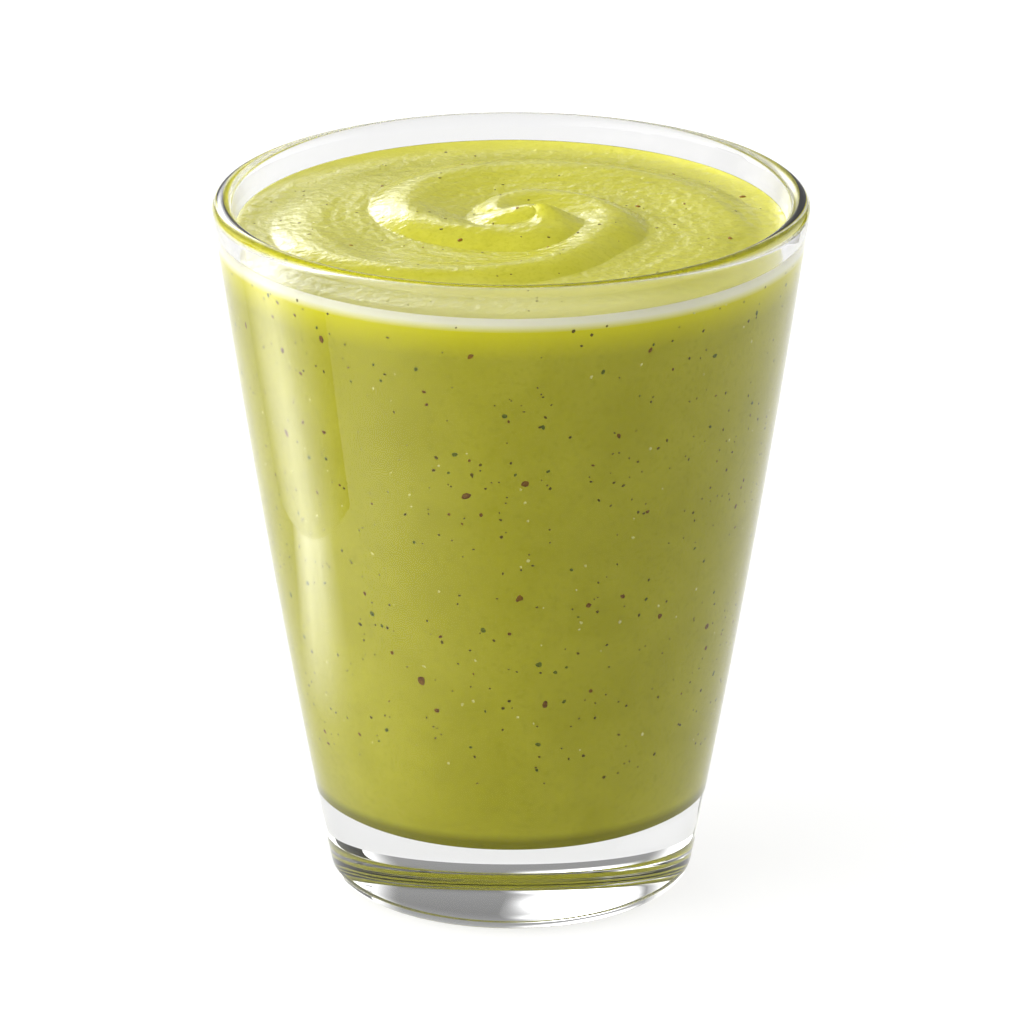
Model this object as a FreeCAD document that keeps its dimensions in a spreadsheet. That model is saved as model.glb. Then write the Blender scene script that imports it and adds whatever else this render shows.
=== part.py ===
"""A green smoothie in a heavy-based, tapered glass tumbler, filled almost to the rim.

Frame: origin at the centre of the foot, +Z up, the side that faces the viewer is -Y.
All sizes are in millimetres and all angles in degrees.
"""
import FreeCAD, Part

import math
import os

import Sketcher
from FreeCAD import Vector

# ---- Driving dimensions: alias, value, meaning ---------------------------------------------
DIMENSIONS = [
    # the glass
    ("glass_height", 102.4, "table to rim"),
    ("rim_radius", 42.65, "outside of the wall at the rim, before it is rounded"),
    ("foot_radius", 25.5, "outside of the wall, carried down to the table"),
    ("wall_bow", 0.75, "how far the wall bulges out of a straight taper"),
    ("wall_rim", 2.85, "wall thickness at the rim"),
    ("wall_foot", 3.0, "wall thickness level with the inner floor"),
    ("rim_round", 1.36, "rounding of both edges of the rim"),
    ("heel_round", 4.3, "rounding between the wall and the foot"),
    ("floor_thickness", 12.0, "solid glass under the drink"),
    ("floor_round", 12.0, "rounding between the inner wall and the floor"),
    ("ring_width", 6.0, "foot corner to the edge of the hollow underneath"),
    ("punt_depth", 1.0, "depth of the hollow under the foot"),
    # the drink
    ("fill_drop", 4.4, "rim down to the level of the drink"),
    ("drink_gap", 0.05, "clearance between the drink and the glass"),
    # the swirl on top, drawn for a surface of swirl_reach and scaled to the real one
    ("swirl_reach", 39.0, "radius of the surface that the swirl is drawn for"),
    ("swirl_middle_x", 3.0, "middle of the spiral, to the right of the axis"),
    ("swirl_middle_y", -1.0, "middle of the spiral, behind the axis"),
    ("swirl_edge", 5.0, "flat margin along the glass"),
    ("peak_x", 4.2, "peak, to the right of the axis"),
    ("peak_y", -0.6, "peak, behind the axis"),
    ("peak_height", 1.3, "peak above the two folds that end in it"),
    ("peak_radius", 3.3, "half width of the peak"),
    ("heart_x", 0.6, "rounded hump under the peak, to the right of the axis"),
    ("heart_y", 0.2, "rounded hump under the peak, behind the axis"),
    ("heart_height", 2.5, "hump above the level"),
    ("heart_radius", 6.0, "half width of the hump"),
    ("fold_inner_slope", 8.0, "half width of the gentle side of a fold"),
    # the fold that runs out of the peak by the right and the front to the left
    ("right_start", 215.0, "direction of its inner end"),
    ("right_end", -250.0, "direction of its outer end"),
    ("right_turn", 200.0, "direction where it leaves the peak"),
    ("right_turn_sweep", 120.0, "angle it needs to come out to the first ring"),
    ("right_turn_growth", 10.0, "radius gained on the way to the first ring"),
    ("right_widening", -30.0, "direction where it leaves the first ring"),
    ("right_widening_sweep", 135.0, "angle it needs to come out to the wall"),
    ("right_widening_growth", 20.5, "radius gained on the way to the wall"),
    ("right_height_inner", 2.3, "height beside the peak"),
    ("right_height_outer", 1.3, "height beside the wall"),
    ("right_width_inner", 5.0, "width of the steep side beside the peak"),
    ("right_width_outer", 5.0, "width of the steep side beside the wall"),
    # the fold that runs out of the peak by the front and the left to the back
    ("back_start", 395.0, "direction of its inner end"),
    ("back_end", -60.0, "direction of its outer end"),
    ("back_turn", 380.0, "direction where it leaves the peak"),
    ("back_turn_sweep", 130.0, "angle it needs to come out to the first ring"),
    ("back_turn_growth", 4.5, "radius gained on the way to the first ring"),
    ("back_widening", 250.0, "direction where it leaves the first ring"),
    ("back_widening_sweep", 160.0, "angle it needs to come out to the outer ring"),
    ("back_widening_growth", 21.5, "radius gained on the way to the outer ring"),
    ("back_height_inner", 2.5, "height beside the peak"),
    ("back_height_outer", 0.8, "height on the outer ring"),
    ("back_width_inner", 8.5, "width of the steep side beside the peak"),
    ("back_width_outer", 4.5, "width of the steep side on the outer ring"),
    ("fold_inner_radius", 1.5, "distance of both inner ends from the middle"),
]

FOLDS = ("right", "back")
INNER_FADE = 0.08    # share of a fold's length over which its inner end rises
OUTER_FADE = 0.3     # share of a fold's length over which its outer end dies out
SURFACE_STEP = 1.3   # spacing of the points that the top of the drink is drawn through
SURFACE_MARGIN = 1.0

# A wall follows one arc, and these two expressions are its lower end inside the glass.
FLOOR_RADIUS = (
    "dims.foot_radius + (dims.rim_radius - dims.foot_radius)"
    " * dims.floor_thickness / dims.glass_height - dims.wall_foot"
)
INNER_RIM_RADIUS = "dims.rim_radius - dims.wall_rim"


def make_sheet(doc):
    """Spreadsheet with one row per dimension: name, value under its alias, meaning."""
    sheet = doc.addObject("Spreadsheet::Sheet", "dims")
    for row, (alias, value, meaning) in enumerate(DIMENSIONS, start=1):
        sheet.set(f"A{row}", alias)
        sheet.set(f"B{row}", str(value))
        sheet.setAlias(f"B{row}", alias)
        sheet.set(f"C{row}", meaning)
    doc.recompute()
    return sheet


# ---- Sketch helpers ------------------------------------------------------------------------
def new_profile_sketch(body, name):
    """Empty sketch on the body's own XZ plane: sketch x is the radius, sketch y the height."""
    sketch = body.newObject("Sketcher::SketchObject", name)
    plane = next(f for f in body.Origin.OriginFeatures if f.Role == "XZ_Plane")
    sketch.AttachmentSupport = [(plane, "")]
    sketch.MapMode = "FlatFace"
    return sketch


def pin(sketch, edge, vertex, radius, height, name):
    """Hold one end of an edge at a radius and a height, both given as expressions."""
    point = sketch.getPoint(edge, vertex)
    for axis, expression, drawn in (("X", radius, point.x), ("Y", height, point.y)):
        index = sketch.addConstraint(
            Sketcher.Constraint("Distance" + axis, -1, 1, edge, vertex, drawn))
        label = f"{name}_{axis.lower()}"
        sketch.renameConstraint(index, label)
        sketch.setExpression(f"Constraints.{label}", expression)


def hold_radius(sketch, edge, expression, name):
    """Hold the radius of an arc at an expression."""
    drawn = sketch.Geometry[edge].Radius
    index = sketch.addConstraint(Sketcher.Constraint("Radius", edge, drawn))
    sketch.renameConstraint(index, name)
    sketch.setExpression(f"Constraints.{name}", expression)


def wall_arc(low, high, bow):
    """Arc from the lower to the upper end of a wall that bulges outwards by bow."""
    middle = (low + high) * 0.5
    rise = high - low
    outwards = Vector(rise.y, -rise.x, 0).normalize()
    return Part.Arc(low, middle + outwards * bow, high)


def bow_radius(radius_change, height_change):
    """Expression: radius of the arc with the bow wall_bow over such a chord."""
    return (f"(({radius_change})^2 + ({height_change})^2) / (8 * dims.wall_bow)"
            " + dims.wall_bow / 2")


def revolve(body, sketch, name):
    """Turn the profile round the vertical axis."""
    turned = body.newObject("PartDesign::Revolution", name)
    turned.Profile = sketch
    turned.ReferenceAxis = (sketch, ["V_Axis"])
    turned.Angle = 360.0
    sketch.Visibility = False
    return turned


def round_circles(body, base, circles, radius, name):
    """Fillet the circular edges of the base that have the given (radius, height)."""
    names = []
    for number, edge in enumerate(base.Shape.Edges, start=1):
        if edge.Degenerated or edge.Curve.TypeId != "Part::GeomCircle":
            continue
        for circle_radius, height in circles:
            off_radius = abs(edge.Curve.Radius - circle_radius)
            off_height = abs(edge.Curve.Center.z - height)
            if off_radius < 1e-3 and off_height < 1e-3:
                names.append(f"Edge{number}")
    fillet = body.newObject("PartDesign::Fillet", name)
    fillet.Base = (base, names)
    fillet.setExpression("Radius", radius)
    body.Document.recompute()
    return fillet


# ---- The glass -----------------------------------------------------------------------------
def make_tumbler(doc, size):
    """Tapered tumbler with a thick floor, a rounded rim and heel and a hollow underneath."""
    body = doc.addObject("PartDesign::Body", "Tumbler")
    body.Label = "tumbler"
    sketch = new_profile_sketch(body, "TumblerProfile")

    punt_edge = Vector(size["foot_radius"] - size["ring_width"], 0, 0)
    punt_top = Vector(0, size["punt_depth"], 0)
    foot = Vector(size["foot_radius"], 0, 0)
    rim_out = Vector(size["rim_radius"], size["glass_height"], 0)
    rim_in = Vector(size["rim_radius"] - size["wall_rim"], size["glass_height"], 0)
    floor_out = Vector(floor_radius(size), size["floor_thickness"], 0)
    floor_middle = Vector(0, size["floor_thickness"], 0)

    # the hollow's arc crosses the axis level, so it is a smooth dish when it is turned
    dish_radius = (punt_edge.x ** 2 + punt_top.y ** 2) / (2 * punt_top.y)
    dish_centre = Vector(0, punt_top.y - dish_radius, 0)
    dish_halfway = dish_centre + (punt_edge + punt_top - dish_centre * 2).normalize() * dish_radius
    edges = [
        Part.Arc(punt_edge, dish_halfway, punt_top),
        Part.LineSegment(punt_edge, foot),
        wall_arc(foot, rim_out, size["wall_bow"]),
        Part.LineSegment(rim_out, rim_in),
        wall_arc(floor_out, rim_in, size["wall_bow"]),
        Part.LineSegment(floor_out, floor_middle),
        Part.LineSegment(floor_middle, punt_top),
    ]
    dish, ring, wall, rim, inside, floor, axis = sketch.addGeometry(edges, False)

    # every arc of a sketch runs anticlockwise, so the inside starts at the floor
    joins = [
        (dish, 1, ring, 1), (ring, 2, wall, 1), (wall, 2, rim, 1), (rim, 2, inside, 2),
        (inside, 1, floor, 1), (floor, 2, axis, 1), (axis, 2, dish, 2),
    ]
    for join in joins:
        sketch.addConstraint(Sketcher.Constraint("Coincident", *join))

    pin(sketch, ring, 1, "dims.foot_radius - dims.ring_width", "0", "punt_edge")
    pin(sketch, ring, 2, "dims.foot_radius", "0", "foot")
    pin(sketch, rim, 1, "dims.rim_radius", "dims.glass_height", "rim_out")
    pin(sketch, rim, 2, INNER_RIM_RADIUS, "dims.glass_height", "rim_in")
    pin(sketch, floor, 1, FLOOR_RADIUS, "dims.floor_thickness", "floor_out")
    pin(sketch, axis, 1, "0", "dims.floor_thickness", "floor_middle")
    pin(sketch, axis, 2, "0", "dims.punt_depth", "punt_top")
    hold_radius(sketch, dish,
         "((dims.foot_radius - dims.ring_width)^2 + dims.punt_depth^2) / (2 * dims.punt_depth)",
         "dish_radius")
    hold_radius(sketch, wall,
         bow_radius("dims.rim_radius - dims.foot_radius", "dims.glass_height"), "wall_radius")
    hold_radius(sketch, inside,
         bow_radius(f"{INNER_RIM_RADIUS} - ({FLOOR_RADIUS})",
                    "dims.glass_height - dims.floor_thickness"), "inside_radius")
    doc.recompute()

    turned = revolve(body, sketch, "TumblerBlank")
    doc.recompute()
    rim_circles = [(rim_out.x, rim_out.y), (rim_in.x, rim_in.y)]
    rounded = round_circles(body, turned, rim_circles,
                            "min(dims.rim_round; dims.wall_rim * 0.48)", "RimRound")
    rounded = round_circles(body, rounded, [(foot.x, 0.0)],
                            "min(dims.heel_round; dims.ring_width * 0.9)", "HeelRound")
    round_circles(body, rounded, [(floor_out.x, floor_out.y)], "dims.floor_round", "FloorRound")
    return body


def floor_radius(size):
    """Inner radius at the floor, before its corner is rounded: the same as FLOOR_RADIUS."""
    taper = (size["rim_radius"] - size["foot_radius"]) / size["glass_height"]
    return size["foot_radius"] + taper * size["floor_thickness"] - size["wall_foot"]


# ---- The drink -----------------------------------------------------------------------------
def make_filling(doc, size):
    """The inside of the glass up to the rim, smaller by the clearance: the drink's blank."""
    body = doc.addObject("PartDesign::Body", "Filling")
    body.Label = "filling"
    sketch = new_profile_sketch(body, "FillingProfile")

    gap = size["drink_gap"]
    bottom = size["floor_thickness"] + gap
    top_out = Vector(size["rim_radius"] - size["wall_rim"] - gap, size["glass_height"], 0)
    bottom_out = Vector(floor_radius(size) - gap, bottom, 0)
    bottom_middle = Vector(0, bottom, 0)
    top_middle = Vector(0, size["glass_height"], 0)
    edges = [
        Part.LineSegment(bottom_middle, bottom_out),
        wall_arc(bottom_out, top_out, size["wall_bow"]),
        Part.LineSegment(top_out, top_middle),
        Part.LineSegment(top_middle, bottom_middle),
    ]
    floor, side, top, axis = sketch.addGeometry(edges, False)
    joins = [(floor, 2, side, 1), (side, 2, top, 1), (top, 2, axis, 1), (axis, 2, floor, 1)]
    for join in joins:
        sketch.addConstraint(Sketcher.Constraint("Coincident", *join))

    low = "dims.floor_thickness + dims.drink_gap"
    pin(sketch, floor, 1, "0", low, "bottom_middle")
    pin(sketch, floor, 2, f"{FLOOR_RADIUS} - dims.drink_gap", low, "bottom_out")
    pin(sketch, top, 1, f"{INNER_RIM_RADIUS} - dims.drink_gap", "dims.glass_height", "top_out")
    pin(sketch, top, 2, "0", "dims.glass_height", "top_middle")
    hold_radius(sketch, side,
         bow_radius(f"{INNER_RIM_RADIUS} - ({FLOOR_RADIUS})",
                    "dims.glass_height - dims.floor_thickness"), "side_radius")
    doc.recompute()

    turned = revolve(body, sketch, "FillingBlank")
    doc.recompute()
    round_circles(body, turned, [(bottom_out.x, bottom)],
                  "dims.floor_round - dims.drink_gap", "FillingRound")
    return body


def smooth_step(share):
    """Rise from 0 to 1 with level ends."""
    share = min(max(share, 0.0), 1.0)
    return share * share * (3.0 - 2.0 * share)


def fold_height(size, fold, radius, direction):
    """Height of one fold of the swirl: gentle towards the middle, steep outside, then a crease."""
    start = size[fold + "_start"]
    along = (start - direction) / (start - size[fold + "_end"])
    if not 0.0 < along < 1.0:
        return 0.0
    crest = size["fold_inner_radius"]
    for stage in ("_turn", "_widening"):
        share = (size[fold + stage] - direction) / size[fold + stage + "_sweep"]
        crest += size[fold + stage + "_growth"] * smooth_step(share)
    inner = size[fold + "_height_inner"]
    outer = size[fold + "_height_outer"]
    height = inner + (outer - inner) * smooth_step(along)
    height *= smooth_step(along / INNER_FADE) * smooth_step((1.0 - along) / OUTER_FADE)
    offset = radius - crest
    if offset < 0.0:
        return height / (1.0 + (offset / size["fold_inner_slope"]) ** 2) ** 1.5
    inner = size[fold + "_width_inner"]
    width = inner + (size[fold + "_width_outer"] - inner) * along
    return height * math.cos(min(offset / width, 1.0) * math.pi / 2.0)


def swirl_height(size, x, y):
    """Height of the drink's surface above its level, at a point of the drawn surface."""
    from_middle_x = x - size["swirl_middle_x"]
    from_middle_y = y - size["swirl_middle_y"]
    radius = math.hypot(from_middle_x, from_middle_y)
    direction = math.degrees(math.atan2(from_middle_y, from_middle_x))
    highest = 0.0
    for fold in FOLDS:
        for full_turn in (-360.0, 0.0, 360.0):
            highest = max(highest, fold_height(size, fold, radius, direction + full_turn))
    from_heart = math.hypot(x - size["heart_x"], y - size["heart_y"])
    hump = size["heart_height"] * math.exp(-(from_heart / size["heart_radius"]) ** 2)
    highest = max(highest, hump)
    from_peak = math.hypot(x - size["peak_x"], y - size["peak_y"])
    highest += size["peak_height"] * math.exp(-(from_peak / size["peak_radius"]) ** 2)
    from_glass = size["swirl_reach"] - math.hypot(x, y)
    return highest * smooth_step(from_glass / size["swirl_edge"])


def make_swirl_block(doc, size):
    """Block whose top is the swirled surface and whose foot is the table: it trims the drink."""
    level = size["glass_height"] - size["fill_drop"]
    slope = (size["rim_radius"] - size["foot_radius"]) / size["glass_height"]
    surface_radius = size["rim_radius"] - size["wall_rim"] - slope * size["fill_drop"]
    scale = surface_radius / size["swirl_reach"]
    reach = size["rim_radius"] + SURFACE_MARGIN
    steps = math.ceil(2.0 * reach / SURFACE_STEP)
    places = [-reach + 2.0 * reach * step / steps for step in range(steps + 1)]
    points = [
        [Vector(x, y, level + swirl_height(size, x / scale, y / scale)) for y in places]
        for x in places
    ]
    surface = Part.BSplineSurface()
    surface.interpolate(points)
    block = doc.addObject("Part::Feature", "SwirlBlock")
    block.Label = "swirl block"
    block.Shape = surface.toShape().extrude(Vector(0, 0, -level))
    return block


def make_smoothie(doc, size):
    """The drink: the filling of the glass, cut off by the swirled surface."""
    drink = doc.addObject("Part::Common", "Smoothie")
    drink.Label = "smoothie"
    drink.Base = make_filling(doc, size)
    drink.Tool = make_swirl_block(doc, size)
    return drink


# ---- Build, check and write ----------------------------------------------------------------
def check(doc, nodes):
    """Stop if any object failed or any node is not one valid solid."""
    for item in doc.Objects:
        if "Invalid" in item.State or "Error" in item.State:
            raise RuntimeError(f"{item.Label} did not build: {item.State}")
    for node in nodes:
        shape = node.Shape
        if shape.isNull() or not shape.isValid() or len(shape.Solids) != 1:
            raise RuntimeError(f"{node.Label} is not one valid solid")


def main():
    doc = FreeCAD.newDocument("GreenSmoothie")
    sheet = make_sheet(doc)
    size = {alias: float(sheet.get(alias)) for alias, _, _ in DIMENSIONS}
    nodes = [make_tumbler(doc, size), make_smoothie(doc, size)]
    doc.recompute()
    check(doc, nodes)
    os.makedirs("parts", exist_ok=True)
    for node in nodes:
        node.Shape.exportStep(f"parts/{node.Label}.step")
        box = node.Shape.optimalBoundingBox(False)
        print(f"{node.Label}: {node.Shape.Volume / 1000.0:.1f} cm3,"
              f" z {box.ZMin:.2f} to {box.ZMax:.2f}, width {box.XLength:.2f}")


main()
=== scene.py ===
"""Looks of a green smoothie in a tapered glass tumbler: clear glass, thick wet drink, flecks.

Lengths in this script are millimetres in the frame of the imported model, and are turned into
metres when a mesh, a card, a material or the camera is made. +Z is up, and the camera looks
along +Y, so the front of the glass is at -Y.
"""
import math
import random

import bmesh
import bpy
import numpy as np
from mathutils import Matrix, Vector, noise


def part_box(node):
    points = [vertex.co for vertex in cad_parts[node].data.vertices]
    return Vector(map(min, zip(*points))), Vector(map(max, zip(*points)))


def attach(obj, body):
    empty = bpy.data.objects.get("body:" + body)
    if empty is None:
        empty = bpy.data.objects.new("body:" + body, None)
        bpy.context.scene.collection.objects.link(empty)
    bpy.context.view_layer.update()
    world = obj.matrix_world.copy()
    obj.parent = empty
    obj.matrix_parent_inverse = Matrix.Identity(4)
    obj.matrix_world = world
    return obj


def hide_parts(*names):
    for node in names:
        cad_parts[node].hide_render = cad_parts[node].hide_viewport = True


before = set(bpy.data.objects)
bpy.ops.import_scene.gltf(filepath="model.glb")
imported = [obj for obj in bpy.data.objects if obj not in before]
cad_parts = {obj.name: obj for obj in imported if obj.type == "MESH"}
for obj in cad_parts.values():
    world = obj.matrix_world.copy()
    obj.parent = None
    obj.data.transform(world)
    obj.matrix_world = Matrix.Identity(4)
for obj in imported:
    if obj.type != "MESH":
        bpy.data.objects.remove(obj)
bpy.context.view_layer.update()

MM = 0.001

# ---- Sizes ---------------------------------------------------------------------------------
GLASS_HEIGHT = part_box("tumbler")[1][2] / MM

RIM_RADIUS = 42.62         # outside of the wall at the rim, before it is rounded
FOOT_RADIUS = 25.5         # outside of the wall, carried down to the table
WALL_BOW = 0.75            # how far the wall bulges out of a straight taper
WALL_RIM = 2.85            # wall thickness at the rim
WALL_FOOT = 3.0            # wall thickness level with the inner floor
FLOOR_THICKNESS = 12.0
RING_WIDTH = 6.0           # foot corner to the edge of the hollow underneath
PUNT_DEPTH = 1.0           # depth of the hollow under the foot
RIM_ROUND = 1.36
HEEL_ROUND = 4.3
FLOOR_ROUND = 12.0
RING_ROUND = 4.0           # where the ring that stands on the table turns into the hollow
RING_WAY = 1.0             # width over which the hollow gives way to that rounding

FILL_LEVEL = GLASS_HEIGHT - 4.4
REACH_INTO_WALL = 0.1      # the drink laps into the glass, so that no air gap shows
EDGE_RISE_BACK = 0.8       # the surface clings to the glass at the back
EDGE_RISE_FRONT = -0.6     # and has slipped down a little at the front
EDGE_WIDTH = 1.6

# ---- Fineness of the meshes ----------------------------------------------------------------
AROUND_GLASS = 256
AROUND_DRINK = 400
PUNT_STEPS = 24
RING_STEPS = 6
HEEL_STEPS = 20
OUTSIDE_STEPS = 60
RIM_STEPS = 12
INSIDE_STEPS = 50
GLASS_CORNER_STEPS = 16
GLASS_FLOOR_STEPS = 12
DRINK_FLOOR_STEPS = 6
DRINK_CORNER_STEPS = 8
DRINK_SIDE_STEPS = 46
TOP_RINGS = 178
EDGE_RINGS = 14            # how many of them lie in the narrow strip beside the glass
EDGE_SHARE = 0.06          # share of the radius that this strip takes
WALL_END = 0.02            # share of a wall that gives its direction at an end


# ---- Meshes --------------------------------------------------------------------------------
def new_piece(name, points, faces, materials, node=None, face_materials=None):
    """Mesh piece from points in millimetres, which rides on the one body of this object."""
    mesh = bpy.data.meshes.new(name)
    mesh.from_pydata([tuple(p) for p in np.asarray(points) * MM], [], faces)
    for material in materials:
        mesh.materials.append(material)
    if face_materials is not None:
        mesh.polygons.foreach_set("material_index", face_materials)
    mesh.polygons.foreach_set("use_smooth", [True] * len(mesh.polygons))
    mesh.validate()
    mesh.update()
    piece = bpy.data.objects.new(name, mesh)
    bpy.context.scene.collection.objects.link(piece)
    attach(piece, "root")
    if node:
        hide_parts(node)
    return piece


def wall_point(low, high, share):
    """Point of a wall that bulges outwards by WALL_BOW between its two ends."""
    rise = high - low
    outwards = Vector((rise.y, -rise.x)).normalized()
    return low + rise * share + outwards * (4.0 * WALL_BOW * share * (1.0 - share))


def rounded(corner, before, after, radius, steps):
    """Arc that rounds a corner between the points before and after it."""
    back = (before - corner).normalized()
    on = (after - corner).normalized()
    half = back.angle(on) / 2.0
    reach = radius / math.tan(half)
    centre = corner + (back + on).normalized() * (radius / math.sin(half))
    start = corner + back * reach - centre
    end = corner + on * reach - centre
    turns = [start.normalized().slerp(end.normalized(), step / steps) for step in range(steps + 1)]
    return [centre + turn * radius for turn in turns]


def wall_points(low, high, clear_low, clear_high, steps):
    """Points up a wall, leaving out what the roundings at its two ends take."""
    points = [wall_point(low, high, step / steps) for step in range(1, steps)]
    return [p for p in points if (p - low).length > clear_low and (p - high).length > clear_high]


def turned(profile, around):
    """Points and quads of a closed profile turned round the axis; both ends lie on the axis."""
    points = [(0.0, 0.0, profile[0].y)]
    for p in profile[1:-1]:
        for turn in range(around):
            angle = 2.0 * math.pi * turn / around
            points.append((p.x * math.cos(angle), p.x * math.sin(angle), p.y))
    points.append((0.0, 0.0, profile[-1].y))
    return points, ring_faces(len(profile) - 2, around)


def ring_faces(rings, around):
    """Faces between a first point, rings of points and a last point."""
    faces = []
    last = 1 + rings * around
    for turn in range(around):
        following = (turn + 1) % around
        faces.append((0, 1 + following, 1 + turn))
        for ring in range(rings - 1):
            low = 1 + ring * around
            high = low + around
            faces.append((low + turn, low + following, high + following, high + turn))
        top = 1 + (rings - 1) * around
        faces.append((top + turn, top + following, last))
    return faces


# ---- Shape of the glass and of the drink ---------------------------------------------------
TAPER = (RIM_RADIUS - FOOT_RADIUS) / GLASS_HEIGHT
FOOT = Vector((FOOT_RADIUS, 0.0))
RIM_OUT = Vector((RIM_RADIUS, GLASS_HEIGHT))
RIM_IN = Vector((RIM_RADIUS - WALL_RIM, GLASS_HEIGHT))
FLOOR_OUT = Vector((FOOT_RADIUS + TAPER * FLOOR_THICKNESS - WALL_FOOT, FLOOR_THICKNESS))
FLOOR_MIDDLE = Vector((0.0, FLOOR_THICKNESS))


def glass_profile():
    """Half section of the tumbler, from the middle of its underside to that of its floor."""
    ring_edge = Vector((FOOT_RADIUS - RING_WIDTH, 0.0))
    dish_radius = (ring_edge.x ** 2 + PUNT_DEPTH ** 2) / (2.0 * PUNT_DEPTH)
    dish = []
    for step in range(PUNT_STEPS):
        radius = (ring_edge.x - RING_WAY) * step / (PUNT_STEPS - 1)
        sag = dish_radius - math.sqrt(dish_radius ** 2 - radius ** 2)
        dish.append(Vector((radius, PUNT_DEPTH - sag)))
    near_foot = wall_point(FOOT, RIM_OUT, WALL_END)
    near_rim_out = wall_point(FOOT, RIM_OUT, 1.0 - WALL_END)
    near_rim_in = wall_point(FLOOR_OUT, RIM_IN, 1.0 - WALL_END)
    near_floor = wall_point(FLOOR_OUT, RIM_IN, WALL_END)
    below_rim = 1.3 * RIM_ROUND
    profile = dish
    profile += rounded(ring_edge, dish[-1], FOOT, RING_ROUND, RING_STEPS)
    profile += rounded(FOOT, ring_edge, near_foot, HEEL_ROUND, HEEL_STEPS)
    profile += wall_points(FOOT, RIM_OUT, HEEL_ROUND, below_rim, OUTSIDE_STEPS)
    profile += rounded(RIM_OUT, near_rim_out, RIM_IN, RIM_ROUND, RIM_STEPS)
    profile += rounded(RIM_IN, RIM_OUT, near_rim_in, RIM_ROUND, RIM_STEPS)
    profile += reversed(wall_points(FLOOR_OUT, RIM_IN, FLOOR_ROUND, below_rim, INSIDE_STEPS))
    profile += rounded(FLOOR_OUT, near_floor, FLOOR_MIDDLE, FLOOR_ROUND, GLASS_CORNER_STEPS)
    flat = profile[-1].x
    for step in range(1, GLASS_FLOOR_STEPS + 1):
        profile.append(Vector((flat * (1.0 - step / GLASS_FLOOR_STEPS), FLOOR_THICKNESS)))
    return profile


def inner_radius(height):
    """Radius of the glass's inner wall at a height, above the rounding of the floor."""
    low, high = 0.0, 1.0
    for _ in range(40):
        middle = (low + high) / 2.0
        if wall_point(FLOOR_OUT, RIM_IN, middle).y < height:
            low = middle
        else:
            high = middle
    return wall_point(FLOOR_OUT, RIM_IN, low).x


# ---- The swirl on top of the drink ---------------------------------------------------------
SWIRL_REACH = 39.0         # the swirl has died away at this radius
SWIRL_EDGE = 5.0           # width over which it does so
SWIRL_MIDDLE = (3.0, -1.0)
PEAK = (4.2, -0.6)
PEAK_HEIGHT = 1.3
PEAK_RADIUS = 3.3
HEART_MIDDLE = (0.6, 0.2)  # rounded hump that carries the peak
HEART_HEIGHT = 2.5
HEART_RADIUS = 6.0
FOLD_INNER_RADIUS = 1.5    # radius where both folds begin
FOLD_INNER_SLOPE = 8.0     # width of a fold's gentle side
INNER_FADE = 0.08          # share of a fold's length over which it rises at its inner end
OUTER_FADE = 0.3           # share over which it sinks at its outer end
SPIRAL_PITCH = 25.0        # radius gained by the streaks in one turn
STREAK_SPACING = 2.6
STREAK_LENGTHS = 1.8       # streaks per radian of turn
STREAK_HEIGHT = 0.09
STREAK_CLEAR = 7.0         # radius of the smooth middle
WRINKLE_SIZE = 1.15        # length scale of the small wrinkles that break up the wet shine
WRINKLE_HEIGHT = 0.06
WRINKLE_PATCH = 9.0        # size of the patches where they are strong or weak
WRINKLE_MEAN = 0.6         # their strength between the patches
# The folds of the swirl. start and end are the directions of the two ends in degrees. Each stage
# is the direction where it begins, the angle that it takes and the radius gained on the way.
# height and width are those at the inner and the outer end.
FOLDS = [
    dict(start=215.0, end=-250.0, stages=[(200.0, 120.0, 10.0), (-30.0, 135.0, 20.5)],
         height=(2.3, 1.3), width=(5.0, 5.0)),
    dict(start=395.0, end=-60.0, stages=[(380.0, 130.0, 4.5), (250.0, 160.0, 21.5)],
         height=(2.5, 0.8), width=(8.5, 4.5)),
]


def smooth_step(share):
    """Rise from 0 to 1 with level ends."""
    share = np.clip(share, 0.0, 1.0)
    return share * share * (3.0 - 2.0 * share)


def fold_crest(fold, direction):
    """Distance of a fold's crest from the middle of the spiral."""
    crest = FOLD_INNER_RADIUS
    for begin, sweep, growth in fold["stages"]:
        crest = crest + growth * smooth_step((begin - direction) / sweep)
    return crest


def fold_height(fold, radius, direction):
    """Height of one fold: gentle towards the middle, steep outside, then a crease."""
    along = (fold["start"] - direction) / (fold["start"] - fold["end"])
    inner, outer = fold["height"]
    height = inner + (outer - inner) * smooth_step(along)
    height = height * smooth_step(along / INNER_FADE) * smooth_step((1.0 - along) / OUTER_FADE)
    offset = radius - fold_crest(fold, direction)
    inner, outer = fold["width"]
    width = inner + (outer - inner) * np.clip(along, 0.0, 1.0)
    gentle = 1.0 / (1.0 + (offset / FOLD_INNER_SLOPE) ** 2) ** 1.5
    steep = np.cos(np.clip(offset / width, 0.0, 1.0) * math.pi / 2.0)
    height = height * np.where(offset < 0.0, gentle, steep)
    return np.where((along > 0.0) & (along < 1.0), height, 0.0)


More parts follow.
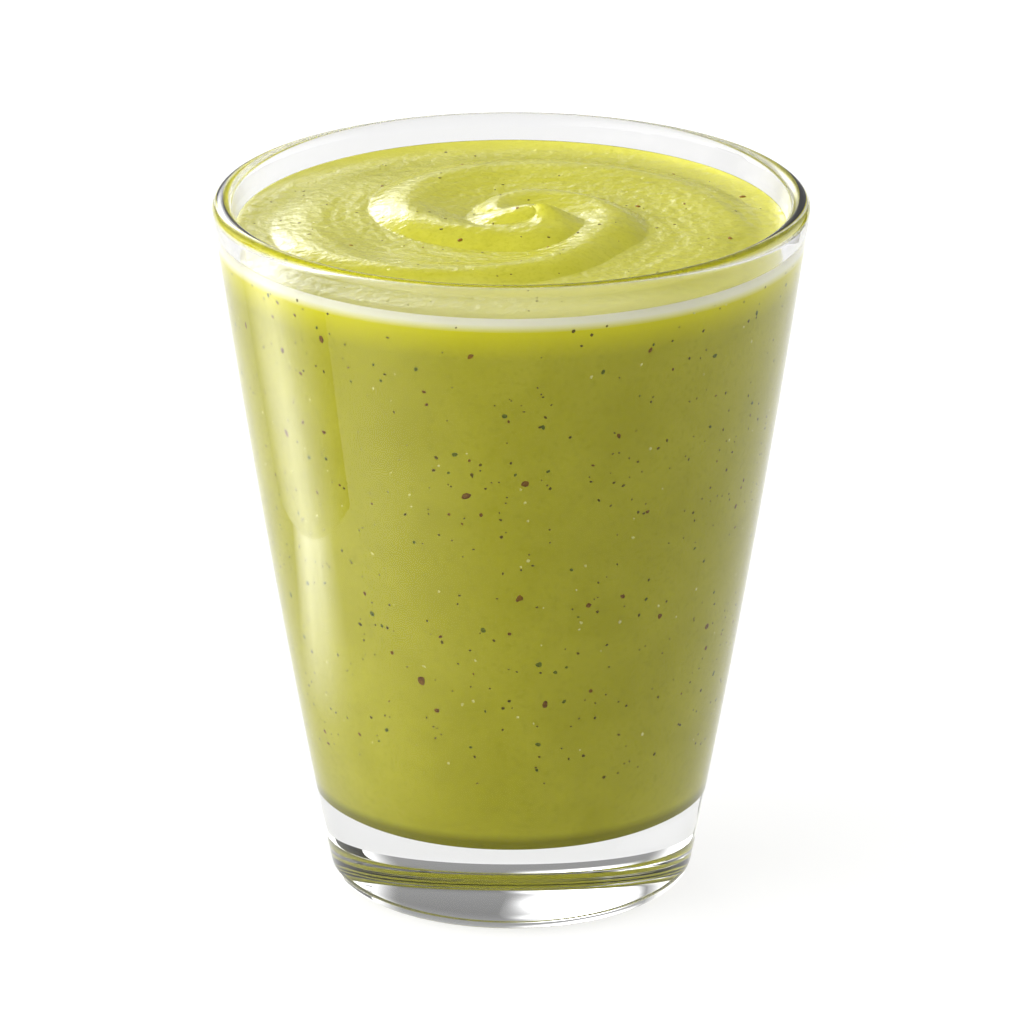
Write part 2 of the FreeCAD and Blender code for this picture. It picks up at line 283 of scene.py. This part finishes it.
def swirl_height(x, y):
    """Height of the drink's surface above its level."""
    from_x = x - SWIRL_MIDDLE[0]
    from_y = y - SWIRL_MIDDLE[1]
    radius = np.hypot(from_x, from_y)
    direction = np.degrees(np.arctan2(from_y, from_x))
    highest = np.zeros_like(radius)
    for fold in FOLDS:
        for full_turn in (-360.0, 0.0, 360.0):
            highest = np.maximum(highest, fold_height(fold, radius, direction + full_turn))
    from_heart = np.hypot(x - HEART_MIDDLE[0], y - HEART_MIDDLE[1])
    highest = np.maximum(highest, HEART_HEIGHT * np.exp(-(from_heart / HEART_RADIUS) ** 2))
    from_peak = np.hypot(x - PEAK[0], y - PEAK[1])
    highest = highest + PEAK_HEIGHT * np.exp(-(from_peak / PEAK_RADIUS) ** 2)
    return highest * smooth_step((SWIRL_REACH - np.hypot(x, y)) / SWIRL_EDGE)


def edge_rise(x, y):
    """Rise of the surface where it meets the glass, different at the back and the front."""
    backwards = y / np.maximum(np.hypot(x, y), 1.0)
    middle = (EDGE_RISE_BACK + EDGE_RISE_FRONT) / 2.0
    return middle + (EDGE_RISE_BACK - middle) * backwards


def streak_noise(x, y):
    """Ridges left by the stirring, drawn out along the spiral.

    Two copies of the noise have their seams on opposite sides, and each is faded out there.
    """
    from_x = x - SWIRL_MIDDLE[0]
    from_y = y - SWIRL_MIDDLE[1]
    radius = np.hypot(from_x, from_y)
    direction = np.arctan2(from_y, from_x)
    relief = np.zeros_like(radius)
    for shift, weight in ((0.0, 0.5 + 0.5 * np.cos(direction)),
                          (2.0 * math.pi, 0.5 - 0.5 * np.cos(direction))):
        unrolled = np.where(direction < 0.0, direction + shift, direction)
        across = radius + SPIRAL_PITCH * unrolled / (2.0 * math.pi)
        values = [
            noise.noise((a / STREAK_SPACING, b * STREAK_LENGTHS, shift))
            + 0.5 * noise.noise((2.3 * a / STREAK_SPACING, 1.7 * b * STREAK_LENGTHS, shift + 5.0))
            for a, b in zip(across, unrolled)
        ]
        relief += weight * np.array(values)
    return relief * smooth_step(radius / STREAK_CLEAR)


def wrinkle_noise(x, y):
    """Small wrinkles, in patches."""
    values = []
    for at_x, at_y in zip(x, y):
        fine = noise.noise((at_x / WRINKLE_SIZE, at_y / WRINKLE_SIZE, 3.0))
        broad = noise.noise((at_x / WRINKLE_PATCH, at_y / WRINKLE_PATCH, 8.0))
        values.append(fine * (WRINKLE_MEAN + broad))
    return np.array(values)


def surface_height(x, y):
    """Height of the drink's top: its level, the swirl, the relief and the edge at the glass."""
    from_wall = inner_radius(FILL_LEVEL) - np.hypot(x, y)
    rise = edge_rise(x, y) * np.exp(-np.maximum(from_wall, 0.0) / EDGE_WIDTH)
    relief = STREAK_HEIGHT * streak_noise(x, y) + WRINKLE_HEIGHT * wrinkle_noise(x, y)
    return FILL_LEVEL + swirl_height(x, y) + rise + relief


def drink_mesh():
    """Points, faces and the material of each face: floor, side and swirled top in one mesh."""
    angles = np.arange(AROUND_DRINK) * 2.0 * math.pi / AROUND_DRINK
    reach = REACH_INTO_WALL
    floor_out = FLOOR_OUT + Vector((reach, -reach))
    rim_in = RIM_IN + Vector((reach, 0.0))
    floor_middle = FLOOR_MIDDLE - Vector((0.0, reach))
    near_floor = wall_point(floor_out, rim_in, WALL_END)
    corner = rounded(floor_out, floor_middle, near_floor, FLOOR_ROUND + reach,
                     DRINK_CORNER_STEPS)
    profile = [Vector((corner[0].x * step / DRINK_FLOOR_STEPS, corner[0].y))
               for step in range(1, DRINK_FLOOR_STEPS)]
    profile += corner
    points = [np.array([[0.0, 0.0, floor_middle.y]])]
    for p in profile:
        ring = np.stack([p.x * np.cos(angles), p.x * np.sin(angles), np.full_like(angles, p.y)])
        points.append(ring.T)
    wall_start = corner[-1].y
    contact = FILL_LEVEL + edge_rise(np.cos(angles) * RIM_RADIUS, np.sin(angles) * RIM_RADIUS)
    edge = inner_radius(FILL_LEVEL) + reach
    for step in range(1, DRINK_SIDE_STEPS + 1):
        heights = wall_start + (contact - wall_start) * step / DRINK_SIDE_STEPS
        radii = np.array([inner_radius(height) + reach for height in heights])
        points.append(np.stack([radii * np.cos(angles), radii * np.sin(angles), heights]).T)
    for ring in range(1, TOP_RINGS + 1):
        if ring <= EDGE_RINGS:
            share = 1.0 - EDGE_SHARE * ring / EDGE_RINGS
        else:
            inwards = (ring - EDGE_RINGS) / (TOP_RINGS + 1 - EDGE_RINGS)
            share = (1.0 - EDGE_SHARE) * (1.0 - inwards)
        x = SWIRL_MIDDLE[0] * (1.0 - share) + edge * np.cos(angles) * share
        y = SWIRL_MIDDLE[1] * (1.0 - share) + edge * np.sin(angles) * share
        points.append(np.stack([x, y, surface_height(x, y)]).T)
    middle_x, middle_y = (np.array([value]) for value in SWIRL_MIDDLE)
    points.append(np.stack([middle_x, middle_y, surface_height(middle_x, middle_y)]).T)
    points = np.concatenate(points)
    lower_rings = len(profile) + DRINK_SIDE_STEPS
    faces = ring_faces(lower_rings + TOP_RINGS, AROUND_DRINK)
    top_start = 1 + (lower_rings - 1) * AROUND_DRINK
    face_materials = [int(min(face) >= top_start) for face in faces]
    return points, faces, face_materials


# ---- Materials -----------------------------------------------------------------------------
def srgb(red, green, blue):
    """Linear colour from the everyday 0 to 255 scale."""
    def linear(value):
        value = value / 255.0
        return value / 12.92 if value <= 0.04045 else ((value + 0.055) / 1.055) ** 2.4
    return (linear(red), linear(green), linear(blue), 1.0)


class Nodes:
    """Short hand for building a material's node tree."""

    def __init__(self, name):
        self.material = bpy.data.materials.new(name)
        self.material.use_nodes = True
        self.tree = self.material.node_tree
        self.shader = self.tree.nodes["Principled BSDF"]
        self.output = self.tree.nodes["Material Output"]
        self.position = self.add("ShaderNodeTexCoord").outputs["Object"]

    def add(self, kind, **inputs):
        """New node; inputs are given by socket name with _ for a blank, as values or links."""
        node = self.tree.nodes.new(kind)
        for name, value in inputs.items():
            self.set(node.inputs[name.replace("_", " ")], value)
        return node

    def set(self, socket, value):
        """Link a node's output to a socket, or store a plain value in it."""
        if isinstance(value, bpy.types.NodeSocket):
            self.tree.links.new(value, socket)
        else:
            socket.default_value = value

    def shade(self, **inputs):
        """Set the inputs of the material's shader."""
        for name, value in inputs.items():
            self.set(self.shader.inputs[name.replace("_", " ")], value)

    def noise(self, scale, detail=2.0, roughness=0.5, distortion=0.0):
        """Cloudy pattern with so many waves to the metre."""
        node = self.add("ShaderNodeTexNoise", Scale=scale, Detail=detail, Roughness=roughness,
                        Distortion=distortion, Vector=self.position)
        return node.outputs["Fac"]

    def mix(self, factor, first, second):
        """Colour that goes from the first to the second as the factor goes from 0 to 1."""
        node = self.tree.nodes.new("ShaderNodeMix")
        node.data_type = "RGBA"
        self.set(node.inputs[0], factor)
        self.set(node.inputs[6], first)
        self.set(node.inputs[7], second)
        return node.outputs[2]

    def spread(self, value, low, high, to_low=0.0, to_high=1.0):
        """The range from low to high stretched onto the other, and held at its ends."""
        node = self.add("ShaderNodeMapRange", Value=value)
        for index, number in enumerate((low, high, to_low, to_high), start=1):
            node.inputs[index].default_value = number
        return node.outputs[0]

    def math(self, operation, first, second=0.0):
        """Result of one sum on two numbers."""
        node = self.tree.nodes.new("ShaderNodeMath")
        node.operation = operation
        self.set(node.inputs[0], first)
        self.set(node.inputs[1], second)
        return node.outputs[0]

    def along(self, axis):
        """Position along an axis, in metres."""
        return self.add("ShaderNodeSeparateXYZ", Vector=self.position).outputs[axis]

    def bump(self, value, distance, strength=1.0, under=None):
        """Fine relief, on top of another one where that is given."""
        node = self.add("ShaderNodeBump", Height=value, Distance=distance, Strength=strength)
        if under is not None:
            self.set(node.inputs["Normal"], under)
        return node.outputs["Normal"]


def glass_material():
    """Clear glass, very faintly uneven, that is a little green where it is thick."""
    nodes = Nodes("clear glass")
    ripple = nodes.noise(35.0, 0.0)
    # The grey base colour dims all that is seen through the glass: painted shade.
    nodes.shade(Base_Color=(0.79, 0.79, 0.795, 1.0), Roughness=0.0, IOR=1.48,
                Specular_Tint=(0.4, 0.4, 0.4, 1.0),
                Transmission_Weight=1.0, Normal=nodes.bump(ripple, 0.0002, 0.15))
    absorption = nodes.add("ShaderNodeVolumeAbsorption")
    absorption.inputs["Color"].default_value = (0.93, 0.96, 0.93, 1.0)
    absorption.inputs["Density"].default_value = 2.0
    nodes.tree.links.new(absorption.outputs[0], nodes.output.inputs["Volume"])
    return nodes.material


# Depths below the level of the drink where its side is painted lighter, and where a pale band of
# painted glint is.
LIT_FROM, LIT_FULL = 7.0, 2.0
GLINT_FROM, GLINT_FULL = 2.8, 1.6
# Heights above the glass floor up to which the side is in its own shade, and how much of it.
UNDER_FULL, UNDER_TO, UNDER_SHARE = 2.0, 3.6, 0.7
# Distances from the axis between which the top is painted paler, as painted light from the glass,
# and how much.
EDGE_LIGHT_FROM, EDGE_LIGHT_FULL, EDGE_LIGHT_SHARE = 33.0, 39.0, 0.7
# The same towards the front, where light comes through the drink.
FRONT_FROM, FRONT_FULL, FRONT_SHARE = 26.0, 38.0, 0.6
LIGHT_REACH = (1.0, 0.9, 0.35)   # how far red, green and blue light spread in the drink
LIGHT_DEPTH = 2.0


def drink_colour(nodes, light, middle, deep):
    """Blended fruit: broad cloudy mottling with fine pulp grain on top."""
    cloud = nodes.noise(90.0, 3.0, 0.55, distortion=0.6)
    base = nodes.mix(nodes.spread(cloud, 0.35, 0.65), middle, light)
    grain = nodes.noise(1400.0, 3.0, 0.6)
    return nodes.mix(nodes.spread(grain, 0.5, 0.72, 0.0, 0.45), base, deep)


def drink_side_material():
    """The drink seen through the glass, painted paler where light comes in under its surface, with
    a painted glint below its level.
    """
    nodes = Nodes("smoothie against glass")
    colour = drink_colour(nodes, srgb(186, 183, 48), srgb(178, 175, 38), srgb(158, 155, 24))
    height = nodes.math("MULTIPLY", nodes.along("Z"), 1.0 / MM)
    lit = nodes.spread(height, FILL_LEVEL - LIT_FROM, FILL_LEVEL - LIT_FULL)
    colour = nodes.mix(lit, colour, srgb(228, 223, 24))
    # Painted light: a pale glint band just under the drink's level.
    painted_glint = nodes.spread(height, FILL_LEVEL - GLINT_FROM, FILL_LEVEL - GLINT_FULL)
    colour = nodes.mix(painted_glint, colour, srgb(250, 249, 222))
    under = nodes.spread(height, FLOOR_THICKNESS + UNDER_FULL, FLOOR_THICKNESS + UNDER_TO,
                         UNDER_SHARE, 0.0)
    colour = nodes.mix(under, colour, srgb(110, 108, 14))
    nodes.shade(Base_Color=colour, Roughness=0.6, IOR=1.36, Specular_IOR_Level=0.0,
                Subsurface_Weight=0.15, Subsurface_Radius=LIGHT_REACH,
                Subsurface_Scale=LIGHT_DEPTH * MM)
    return nodes.material


def drink_top_material():
    """The wet, swirled top, with painted sheen and painted light in its colour."""
    nodes = Nodes("smoothie top")
    # Paler and bluer than the side's colours: the drink's own colour with painted sheen of the wet
    # top.
    colour = drink_colour(nodes, srgb(188, 185, 62), srgb(179, 176, 48), srgb(154, 151, 30))
    # Painted light: paler near the glass and towards the front, where light comes in through the
    # glass and drink.
    squares = [nodes.math("POWER", nodes.along(axis), 2.0) for axis in "XY"]
    outwards = nodes.math("SQRT", nodes.math("ADD", *squares))
    painted_edge_light = nodes.spread(outwards, EDGE_LIGHT_FROM * MM, EDGE_LIGHT_FULL * MM, 0.0, EDGE_LIGHT_SHARE)
    colour = nodes.mix(painted_edge_light, colour, srgb(226, 222, 96))
    front = nodes.spread(nodes.along("Y"), -FRONT_FULL * MM, -FRONT_FROM * MM, FRONT_SHARE, 0.0)
    colour = nodes.mix(front, colour, srgb(240, 236, 158))
    wrinkles = nodes.bump(nodes.noise(650.0, 2.0, 0.5), 0.00018, 0.7)
    normal = nodes.bump(nodes.noise(2600.0, 2.0, 0.6), 0.00003, 0.5, wrinkles)
    nodes.shade(Base_Color=colour, Roughness=0.17, IOR=1.4,
                Subsurface_Weight=0.25, Subsurface_Radius=LIGHT_REACH,
                Subsurface_Scale=LIGHT_DEPTH * MM, Normal=normal)
    return nodes.material


# ---- Pieces --------------------------------------------------------------------------------
def make_glass():
    """The tumbler, turned in one piece."""
    points, faces = turned(glass_profile(), AROUND_GLASS)
    return new_piece("glass_tumbler", points, faces, [glass_material()], "tumbler")


def make_drink():
    """The smoothie, with one material against the glass and one on top."""
    points, faces, face_materials = drink_mesh()
    materials = [drink_side_material(), drink_top_material()]
    return new_piece("smoothie_drink", points, faces, materials, "smoothie",
                     face_materials)


# ---- Specks --------------------------------------------------------------------------------
# Kind of speck: its two colours, its smallest and largest size, and how many are scattered
# against the glass and on the top.
SPECKS = {
    "flecks_red_brown": (srgb(104, 68, 1), srgb(138, 98, 4), 0.45, 1.05, 110, 14),
    "flecks_green": (srgb(84, 96, 4), srgb(108, 116, 10), 0.45, 1.0, 140, 0),
    "specks_dark": (srgb(78, 72, 2), srgb(108, 92, 5), 0.3, 0.6, 910, 80),
    "specks_pale": (srgb(210, 208, 112), srgb(226, 224, 150), 0.3, 0.65, 180, 14),
}
# Large red-brown flecks against the glass: degrees round from the front, height and size.
LARGE_FLECKS = [
    (-10, 70, 1.4), (3, 72, 1.3), (-24, 40, 1.6), (9, 37, 1.3), (2, 54, 1.2),
    (-42, 91, 1.3), (-58, 74, 1.2), (-70, 88, 1.1), (28, 53, 0.9), (59, 44, 1.1),
]
SPECK_SEED = 40
SPECK_MARGIN = 2.0         # clear of the drink's edge by this much
SPECK_UNEVENNESS = 0.45
SPECK_FLATNESS = 0.33
SPECK_SUNK = 0.3           # share of its half thickness by which a speck lies in the drink


def speck_ball():
    """Small ball that every speck is made from."""
    ball = bmesh.new()
    bmesh.ops.create_icosphere(ball, subdivisions=2, radius=1.0)
    points = np.array([vertex.co for vertex in ball.verts])
    faces = [[vertex.index for vertex in face.verts] for face in ball.faces]
    ball.free()
    return points, faces


def speck(ball, size, centre, across, upwards, outwards, chance):
    """Points of one flattened, uneven speck that lies on a surface."""
    turn = chance.uniform(0.0, math.pi)
    lengthways = math.cos(turn) * across + math.sin(turn) * upwards
    sideways = math.cos(turn) * upwards - math.sin(turn) * across
    shift = chance.uniform(0.0, 100.0)
    bulge = np.array([1.0 + SPECK_UNEVENNESS * noise.noise((x + shift, y, z)) for x, y, z in ball])
    shape = ball * bulge[:, None] * size / 2.0
    shape = shape * (1.0, chance.uniform(0.6, 0.95), SPECK_FLATNESS)
    centre = centre - outwards * (SPECK_SUNK * SPECK_FLATNESS * size / 2.0)
    axes = np.array([lengthways, sideways, outwards])
    return centre + shape @ axes


def side_place(direction, height):
    """Place against the glass, with the directions across, up and out of the wall there."""
    outwards = np.array([math.cos(direction), math.sin(direction), 0.0])
    across = np.array([-math.sin(direction), math.cos(direction), 0.0])
    radius = inner_radius(height) + REACH_INTO_WALL
    centre = outwards * radius + (0.0, 0.0, height)
    upwards = np.array([outwards[0] * TAPER, outwards[1] * TAPER, 1.0])
    upwards = upwards / np.linalg.norm(upwards)
    return centre, across, upwards, np.cross(across, upwards)


def top_place(x, y):
    """Place on the swirled top, with two directions along it and the one out of it."""
    step = 0.2
    here, right, back = surface_height(np.array([x, x + step, x]), np.array([y, y, y + step]))
    across = np.array([step, 0.0, right - here])
    across = across / np.linalg.norm(across)
    outwards = np.cross(across, (0.0, step, back - here))
    outwards = outwards / np.linalg.norm(outwards)
    return np.array([x, y, here]), across, np.cross(outwards, across), outwards


def speck_material(name, first, second):
    """Dull material in two blended colours."""
    nodes = Nodes(name)
    cloud = nodes.spread(nodes.noise(1800.0, 2.0), 0.35, 0.65)
    colour = nodes.mix(cloud, first, second)
    nodes.shade(Base_Color=colour, Roughness=0.45, IOR=1.4, Specular_IOR_Level=0.2)
    return nodes.material


def make_specks():
    """Each kind of speck as one piece, scattered against the glass and over the top."""
    ball, ball_faces = speck_ball()
    lowest = FLOOR_THICKNESS + FLOOR_ROUND
    highest = FILL_LEVEL - SPECK_MARGIN
    widest = inner_radius(FILL_LEVEL) - SPECK_MARGIN
    for number, (name, kind) in enumerate(SPECKS.items()):
        first, second, smallest, largest, on_side, on_top = kind
        chance = random.Random(SPECK_SEED + number)
        places = []
        if name == "flecks_red_brown":
            for degrees, height, size in LARGE_FLECKS:
                direction = math.radians(degrees - 90.0)
                places.append((size, side_place(direction, height)))
        for count in range(on_side + on_top):
            size = smallest + (largest - smallest) * chance.random() ** 2
            direction = chance.uniform(-math.pi, math.pi)
            share = chance.random()
            if count < on_side:
                places.append((size, side_place(direction, lowest + (highest - lowest) * share)))
            else:
                radius = widest * math.sqrt(share)
                place = top_place(radius * math.cos(direction), radius * math.sin(direction))
                places.append((size, place))
        points = np.concatenate([speck(ball, size, *place, chance) for size, place in places])
        faces = [[corner + index * len(ball) for corner in face]
                 for index in range(len(places)) for face in ball_faces]
        new_piece(name, points, faces, [speck_material(name, first, second)])


# ---- Stage ---------------------------------------------------------------------------------
# Direction of a glow, the cosines of the angles from it where it starts and is full, and its
# strength at both.
STUDIO_GLOWS = [
    ((0.0, 0.0, 1.0), 0.2, 0.9, 0.38, 0.2),
    ((-0.97, -0.24, 0.1), 0.35, 0.9, 0.0, 5.0),
    ((0.97, 0.24, 0.1), 0.65, 0.95, 0.0, 3.4),
]
FLOOR_REACH = 6000.0       # half its side
FLOOR_GLOW = 0.8
LEFT_CARD_AWAY = 125.0
LEFT_CARD_BACK = 15.0
LEFT_CARD_MIDDLE = 12.0    # height of its middle
LEFT_CARD_GLOW = 6.5
# The floor is lit more strongly beside the foot of the left card.
LIT_FLOOR_LENGTH = 58.0
LIT_FLOOR_WIDTH = 34.0     # half of it
LIT_FLOOR_FULL = 0.3       # share of that half that is fully lit
# Broad light on the floor to the front left: its middle, its radius and its strength.
FRONT_GLOW_MIDDLE = (-115.0, -75.0)
FRONT_GLOW_RADIUS = 110.0
FRONT_GLOW = 2.4
CARD_FULL = 0.1            # share of a card's half side that glows fully
CARD_FALL = 1.5            # power of the fall towards its edge
FOOT_GAP = 0.1             # film of air between the foot and the floor: the foot mirrors inside

CAMERA_ELEVATION = 19.13   # degrees
CAMERA_AIM = (0.1, 0.0, 55.1)
CAMERA_DISTANCE = 1457.85
SENSOR_WIDTH = 36.0
LENS = 357.7


def stage_sheet(name, half_width, half_height, level, material):
    """Flat sheet of the stage; its sizes are in metres here."""
    mesh = bpy.data.meshes.new(name)
    corners = [(-half_width, -half_height, level), (half_width, -half_height, level),
               (half_width, half_height, level), (-half_width, half_height, level)]
    mesh.from_pydata(corners, [], [(0, 1, 2, 3)])
    mesh.materials.append(material)
    sheet = bpy.data.objects.new(name, mesh)
    bpy.context.scene.collection.objects.link(sheet)
    return sheet


def make_floor():
    """Pale floor that glows, more strongly to the left of the glass."""
    low = -FOOT_GAP * MM
    nodes = Nodes("pale floor")
    card_foot = -LEFT_CARD_AWAY * MM
    along = nodes.spread(nodes.along("X"), card_foot, card_foot + LIT_FLOOR_LENGTH * MM, 1.0, 0.0)
    beside = nodes.math("SUBTRACT", nodes.along("Y"), LEFT_CARD_BACK * MM)
    beside = nodes.math("ABSOLUTE", beside)
    half_width = LIT_FLOOR_WIDTH * MM
    across = nodes.spread(beside, LIT_FLOOR_FULL * half_width, half_width, 1.0, 0.0)
    lit = nodes.math("MULTIPLY", nodes.math("MULTIPLY", along, across), LEFT_CARD_GLOW)
    middle = (FRONT_GLOW_MIDDLE[0] * MM, FRONT_GLOW_MIDDLE[1] * MM, low)
    away = nodes.add("ShaderNodeVectorMath", Vector=nodes.position)
    away.operation = "DISTANCE"
    away.inputs[1].default_value = middle
    broad = nodes.spread(away.outputs["Value"], 0.0, FRONT_GLOW_RADIUS * MM, 1.0, 0.0)
    lit = nodes.math("ADD", lit, nodes.math("MULTIPLY", broad, FRONT_GLOW))
    nodes.shade(Base_Color=(0.25, 0.25, 0.25, 1.0), Roughness=0.9, Specular_IOR_Level=0.0,
                Emission_Color=(1.0, 1.0, 1.0, 1.0),
                Emission_Strength=nodes.math("ADD", lit, FLOOR_GLOW))
    stage_sheet("floor", FLOOR_REACH * MM, FLOOR_REACH * MM, low, nodes.material)


def make_card(name, place, aim, width, height, edge_glow, middle_glow):
    """Glowing card that is brightest in its middle; the camera doesn't see it."""
    half_width = width * MM / 2.0
    half_height = height * MM / 2.0
    nodes = Nodes(name)
    glow = middle_glow - edge_glow
    for axis, half in (("X", half_width), ("Y", half_height)):
        off = nodes.math("ABSOLUTE", nodes.along(axis))
        fade = nodes.spread(off, CARD_FULL * half, half, 1.0, 0.0)
        glow = nodes.math("MULTIPLY", nodes.math("POWER", fade, CARD_FALL), glow)
    nodes.shade(Base_Color=(0.0, 0.0, 0.0, 1.0), Specular_IOR_Level=0.0,
                Emission_Color=(1.0, 1.0, 1.0, 1.0),
                Emission_Strength=nodes.math("ADD", glow, edge_glow))
    card = stage_sheet(name, half_width, half_height, 0.0, nodes.material)
    card.location = Vector(place) * MM
    card.rotation_euler = (Vector(aim) - Vector(place)).to_track_quat("Z", "Y").to_euler()
    card.visible_camera = False
    return card


def make_flag(name, place, aim, width, height):
    """Black flag that only shows inside the glass and in its reflections."""
    flag = make_card(name, place, aim, width, height, 0.0, 0.0)
    flag.visible_diffuse = False
    flag.visible_shadow = False


def make_world():
    """Pale studio: the sum of a few glows, each of which rises towards one direction."""
    world = bpy.data.worlds.new("studio")
    world.use_nodes = True
    tree = world.node_tree
    direction = tree.nodes.new("ShaderNodeTexCoord").outputs["Generated"]
    total = None
    for toward, *numbers in STUDIO_GLOWS:
        along = tree.nodes.new("ShaderNodeVectorMath")
        along.operation = "DOT_PRODUCT"
        along.inputs[1].default_value = Vector(toward).normalized()
        tree.links.new(direction, along.inputs[0])
        shade = tree.nodes.new("ShaderNodeMapRange")
        shade.interpolation_type = "SMOOTHSTEP"
        for socket, number in enumerate(numbers, start=1):
            shade.inputs[socket].default_value = number
        tree.links.new(along.outputs["Value"], shade.inputs[0])
        if total is None:
            total = shade.outputs[0]
            continue
        both = tree.nodes.new("ShaderNodeMath")
        tree.links.new(total, both.inputs[0])
        tree.links.new(shade.outputs[0], both.inputs[1])
        total = both.outputs[0]
    background = tree.nodes["Background"]
    background.inputs["Color"].default_value = (1.0, 1.0, 1.0, 1.0)
    tree.links.new(total, background.inputs["Strength"])
    bpy.context.scene.world = world


def make_camera():
    """Long lens, a little above the glass, as in the photograph."""
    elevation = math.radians(CAMERA_ELEVATION)
    back = Vector((0.0, -math.cos(elevation), math.sin(elevation)))
    data = bpy.data.cameras.new("camera")
    data.sensor_width = SENSOR_WIDTH
    data.lens = LENS
    camera = bpy.data.objects.new("camera", data)
    camera.location = (Vector(CAMERA_AIM) + back * CAMERA_DISTANCE) * MM
    camera.rotation_euler = (-back).to_track_quat("-Z", "Y").to_euler()
    bpy.context.scene.collection.objects.link(camera)
    bpy.context.scene.camera = camera


def main():
    """The stage, the glass, the drink and its specks."""
    bpy.context.scene.view_settings.view_transform = "Standard"
    make_camera()
    make_world()
    make_floor()
    make_card("back left card", place=(-330, 1020, 480), aim=(0, 0, 98),
              width=760, height=560, edge_glow=0.4, middle_glow=10.0)
    make_card("left card", place=(-LEFT_CARD_AWAY, LEFT_CARD_BACK, LEFT_CARD_MIDDLE),
              aim=(0, LEFT_CARD_BACK, LEFT_CARD_MIDDLE),
              width=120, height=220, edge_glow=1.0, middle_glow=LEFT_CARD_GLOW)
    make_flag("left flag", place=(-260, 90, 60), aim=(0, 0, 60), width=90, height=300)
    make_flag("right flag", place=(190, 190, 20), aim=(0, 0, 20), width=90, height=160)
    make_glass()
    make_drink()
    make_specks()


main()
